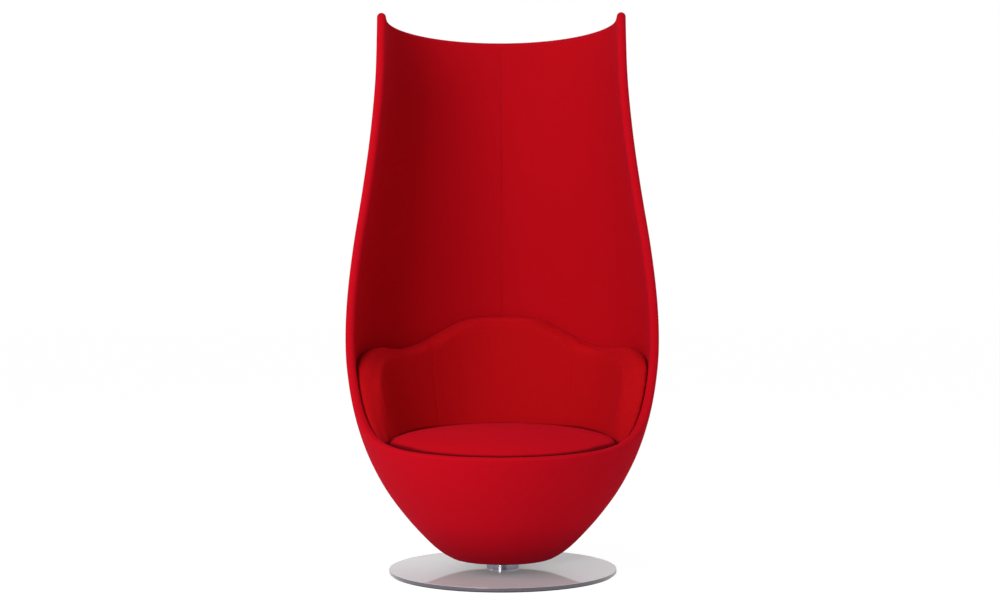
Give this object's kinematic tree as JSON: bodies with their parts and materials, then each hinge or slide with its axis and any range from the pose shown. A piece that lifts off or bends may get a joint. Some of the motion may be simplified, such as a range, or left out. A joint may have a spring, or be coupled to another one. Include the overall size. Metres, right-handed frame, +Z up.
{
  "type": "pod chair",
  "caption": "Tall upholstered pod chair: a reclined bulb shell open at front and top, cushioned inside, swivelling on a short steel column over a round base.",
  "frame": {"origin": "centre of the felt pad's underside, on the floor and on the axis that the chair turns about", "axes": "+Z up, the sitter faces -Y, +X to the right seen from the front"},
  "size_m": [0.898, 0.852, 1.6138],
  "materials": {
    "felt": "pressed wool felt",
    "base_steel": "satin polished stainless steel",
    "column_steel": "polished stainless steel",
    "zinc": "zinc plated steel",
    "bronze": "plain bearing bronze",
    "nylon": "natural nylon",
    "frame_steel": "black powder coat",
    "moulded_shell": "moulded shell, unpainted",
    "black_plastic": "fine moulded texture",
    "plywood": "birch plywood",
    "cover_fabric": "felted red wool upholstery",
    "lining_fabric": "felted red wool upholstery",
    "cushion_fabric": "felted red wool upholstery over foam"
  },
  "bodies": {
    "base": {"floor_pad": "felt", "base_plate": "base_steel", "column": "column_steel", "column_screws": "zinc", "lower_bush": "bronze", "upper_bush": "bronze", "thrust_washer": "nylon"},
    "shell": {"spindle": "zinc", "flange_screws": "zinc", "spindle_retainer": "zinc", "retainer_screw": "zinc", "swivel_frame": "frame_steel", "frame_bolts": "zinc", "frame_washers": "zinc", "shell_core": "moulded_shell", "outer_cover": "cover_fabric", "lining_left": "lining_fabric", "lining_right": "lining_fabric", "edge_roll": "cover_fabric", "hole_collar": "black_plastic", "deck_ledge": "plywood", "seat_deck": "plywood", "deck_screws": "zinc", "back_cushion": "cushion_fabric", "arm_cushion_left": "cushion_fabric", "arm_cushion_right": "cushion_fabric"},
    "cushion": {"seat_cushion": "cushion_fabric"}
  },
  "joints": [
    {"name": "swivel", "type": "hinge", "parent": "base", "child": "shell", "pos_m": [0, 0, 0.1], "axis": [0, 0, 1], "continuous": true},
    {"name": "cushion_lift", "type": "slide", "parent": "shell", "child": "cushion", "axis": [0, 0.061, 0.9981], "range_m": [0, 0.15]}
  ]
}
